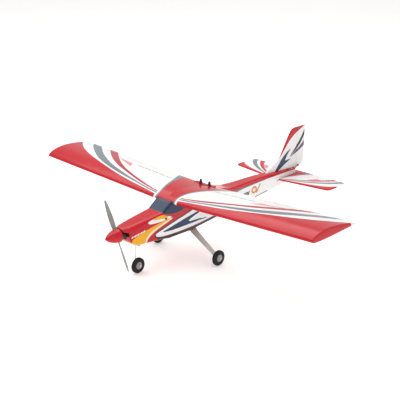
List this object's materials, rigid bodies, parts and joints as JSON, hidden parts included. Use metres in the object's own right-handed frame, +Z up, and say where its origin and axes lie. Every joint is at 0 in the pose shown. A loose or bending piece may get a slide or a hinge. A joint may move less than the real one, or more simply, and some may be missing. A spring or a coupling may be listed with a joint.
{
  "type": "radio controlled trainer airplane",
  "caption": "High-wing electric radio-controlled trainer airplane with tricycle gear, hinged control surfaces, driven linkages and a lift-off battery hatch.",
  "frame": {"origin": "on the ground under the middle of the object's length, in its plane of symmetry", "axes": "+X towards the port (left) wing tip, +Y towards the tail, +Z up"},
  "size_m": [1.6002, 1.293, 0.439],
  "materials": {
    "film_white": "gloss heat-shrink film over sheeted balsa, white",
    "film_red": "gloss heat-shrink film over sheeted balsa, red",
    "plywood": "bare light plywood",
    "cell_pack": "shrink-wrapped cell pack",
    "controller": "heat sink in shrink wrap",
    "plastic_black": "matte moulded",
    "plastic_white": "moulded nylon",
    "plastic_grey": "satin moulded",
    "spinner_red": "gloss moulded, red",
    "hub_plastic": "moulded nylon",
    "tyre_rubber": "foam rubber",
    "strap_metal": "bent sheet, satin",
    "joiner_metal": "drawn bar",
    "wire_steel": "spring wire",
    "motor_steel": "black oxide",
    "rod_composite": "pultruded rod",
    "webbing": "hook-and-loop webbing"
  },
  "bodies": {
    "airframe": {"fuselage_side_left": "film_white", "fuselage_side_right": "film_white", "fuselage_bottom": "film_white", "rear_top_deck": "film_red", "nose_cowl": "film_red", "firewall": "plywood", "equipment_tray": "plywood", "rudder_servo": "plastic_black", "elevator_servo": "plastic_black", "battery_pack": "cell_pack", "battery_strap": "webbing", "speed_controller": "controller", "receiver": "plastic_grey", "wing_panel_left": "film_white", "wing_panel_right": "film_white", "wing_joiner": "joiner_metal", "wing_bolt_plate": "film_red", "wing_mount_block": "plywood", "wing_bolt_left": "plastic_black", "wing_bolt_right": "plastic_black", "aileron_servo_left": "plastic_black", "aileron_servo_right": "plastic_black", "horizontal_stabilizer": "film_white", "vertical_fin": "film_white", "motor_stator": "motor_steel", "nose_gear_bracket": "plastic_black", "main_gear": "strap_metal", "main_axle_left": "wire_steel", "main_axle_right": "wire_steel"},
    "drive": {"motor_can": "motor_steel", "spinner_backplate": "spinner_red", "propeller": "plastic_grey", "spinner_cone": "spinner_red"},
    "hatch": {"battery_hatch": "film_red"},
    "latch": {"hatch_latch": "plastic_black"},
    "left_aileron": {"aileron_left": "film_red", "aileron_horn_left": "plastic_black"},
    "right_aileron": {"aileron_right": "film_red", "aileron_horn_right": "plastic_black"},
    "left_aileron_arm": {"aileron_servo_arm_left": "plastic_white"},
    "right_aileron_arm": {"aileron_servo_arm_right": "plastic_white"},
    "left_aileron_rod": {"aileron_pushrod_left": "wire_steel"},
    "right_aileron_rod": {"aileron_pushrod_right": "wire_steel"},
    "elevator_surface": {"elevator": "film_red", "elevator_horn": "plastic_black"},
    "elevator_arm": {"elevator_servo_arm": "plastic_white"},
    "elevator_rod": {"elevator_pushrod": "rod_composite"},
    "rudder_surface": {"rudder": "film_white", "rudder_horn": "plastic_black"},
    "rudder_arm": {"rudder_servo_arm": "plastic_white"},
    "rudder_rod": {"rudder_pushrod": "rod_composite"},
    "steering_rod": {"steering_pushrod": "wire_steel"},
    "nose_gear": {"nose_leg": "wire_steel", "steering_arm": "plastic_black"},
    "nose_wheel": {"nose_tyre": "tyre_rubber", "nose_hub": "hub_plastic"},
    "main_wheel_left": {"main_left_tyre": "tyre_rubber", "main_left_hub": "hub_plastic"},
    "main_wheel_right": {"main_right_tyre": "tyre_rubber", "main_right_hub": "hub_plastic"}
  },
  "joints": [
    {"name": "propeller_spin", "type": "hinge", "parent": "airframe", "child": "drive", "pos_m": [0, -0.584, 0.2], "axis": [0, 1, 0], "continuous": true},
    {"name": "hatch_lift", "type": "slide", "parent": "airframe", "child": "hatch", "axis": [0, 0, 1], "range_m": [0, 0.07]},
    {"name": "latch_press", "type": "slide", "parent": "airframe", "child": "latch", "axis": [-1, 0, 0], "range_m": [0, 0.003], "stiffness_N_per_m": 400, "springref_m": -0.002},
    {"name": "left_aileron_tilt", "type": "hinge", "parent": "airframe", "child": "left_aileron", "pos_m": [0.56633, -0.086, 0.31873], "axis": [0.999, 0, 0.0436], "range_deg": [-20, 20]},
    {"name": "right_aileron_tilt", "type": "hinge", "parent": "airframe", "child": "right_aileron", "pos_m": [-0.56633, -0.086, 0.31873], "axis": [0.999, 0, -0.0436], "range_deg": [-20, 20]},
    {"name": "left_aileron_arm_turn", "type": "hinge", "parent": "airframe", "child": "left_aileron_arm", "pos_m": [0.38476, -0.179, 0.3048], "axis": [0.999, 0, 0.0436], "range_deg": [-31.5, 31.5]},
    {"name": "right_aileron_arm_turn", "type": "hinge", "parent": "airframe", "child": "right_aileron_arm", "pos_m": [-0.38476, -0.179, 0.3048], "axis": [0.999, 0, -0.0436], "range_deg": [-31.5, 31.5]},
    {"name": "left_aileron_rod_slide", "type": "slide", "parent": "airframe", "child": "left_aileron_rod", "axis": [0, 1, 0], "range_m": [-0.006, 0.006]},
    {"name": "right_aileron_rod_slide", "type": "slide", "parent": "airframe", "child": "right_aileron_rod", "axis": [0, 1, 0], "range_m": [-0.006, 0.006]},
    {"name": "elevator_tilt", "type": "hinge", "parent": "airframe", "child": "elevator_surface", "pos_m": [0, 0.573, 0.21], "axis": [1, 0, 0], "range_deg": [-22, 22]},
    {"name": "elevator_arm_turn", "type": "hinge", "parent": "airframe", "child": "elevator_arm", "pos_m": [-0.02, -0.14, 0.181], "axis": [0, 0, 1], "range_deg": [-32.5, 32.5]},
    {"name": "elevator_rod_slide", "type": "slide", "parent": "airframe", "child": "elevator_rod", "axis": [-0.0154, 0.9998, 0.0137], "range_m": [-0.0062, 0.0062]},
    {"name": "rudder_swing", "type": "hinge", "parent": "airframe", "child": "rudder_surface", "pos_m": [0, 0.5845, 0.34], "axis": [0, 0, 1], "range_deg": [-23, 23]},
    {"name": "rudder_arm_turn", "type": "hinge", "parent": "airframe", "child": "rudder_arm", "pos_m": [0.02, -0.14, 0.181], "axis": [0, 0, 1], "range_deg": [-32, 32]},
    {"name": "rudder_rod_slide", "type": "slide", "parent": "airframe", "child": "rudder_rod", "axis": [0.0082, 0.9958, 0.0913], "range_m": [-0.0061, 0.0061]},
    {"name": "steering_rod_slide", "type": "slide", "parent": "airframe", "child": "steering_rod", "axis": [0.0489, 0.9988, 0], "range_m": [-0.0061, 0.0061]},
    {"name": "nose_gear_steer", "type": "hinge", "parent": "airframe", "child": "nose_gear", "pos_m": [0, -0.4665, 0.16], "axis": [0, 0, 1], "range_deg": [-23.5, 23.5]},
    {"name": "nose_wheel_spin", "type": "hinge", "parent": "nose_gear", "child": "nose_wheel", "pos_m": [0, -0.4665, 0.034], "axis": [1, 0, 0], "continuous": true},
    {"name": "main_wheel_left_spin", "type": "hinge", "parent": "airframe", "child": "main_wheel_left", "pos_m": [0.185, -0.1665, 0.034], "axis": [1, 0, 0], "continuous": true},
    {"name": "main_wheel_right_spin", "type": "hinge", "parent": "airframe", "child": "main_wheel_right", "pos_m": [-0.185, -0.1665, 0.034], "axis": [1, 0, 0], "continuous": true}
  ],
  "couplings": [
    {"joint": "right_aileron_tilt", "follows": "left_aileron_tilt", "ratio": -1},
    {"joint": "left_aileron_arm_turn", "follows": "left_aileron_tilt", "ratio": 1.5455},
    {"joint": "right_aileron_arm_turn", "follows": "left_aileron_tilt", "ratio": -1.5455},
    {"joint": "left_aileron_rod_slide", "follows": "left_aileron_tilt", "m_per_rad": 0.017},
    {"joint": "right_aileron_rod_slide", "follows": "left_aileron_tilt", "m_per_rad": -0.017},
    {"joint": "elevator_arm_turn", "follows": "elevator_tilt", "ratio": 1.4545},
    {"joint": "elevator_rod_slide", "follows": "elevator_tilt", "m_per_rad": 0.016},
    {"joint": "rudder_arm_turn", "follows": "rudder_swing", "ratio": -1.3636},
    {"joint": "rudder_rod_slide", "follows": "rudder_swing", "m_per_rad": 0.015},
    {"joint": "steering_rod_slide", "follows": "rudder_swing", "m_per_rad": -0.015},
    {"joint": "nose_gear_steer", "follows": "rudder_swing", "ratio": -1}
  ]
}
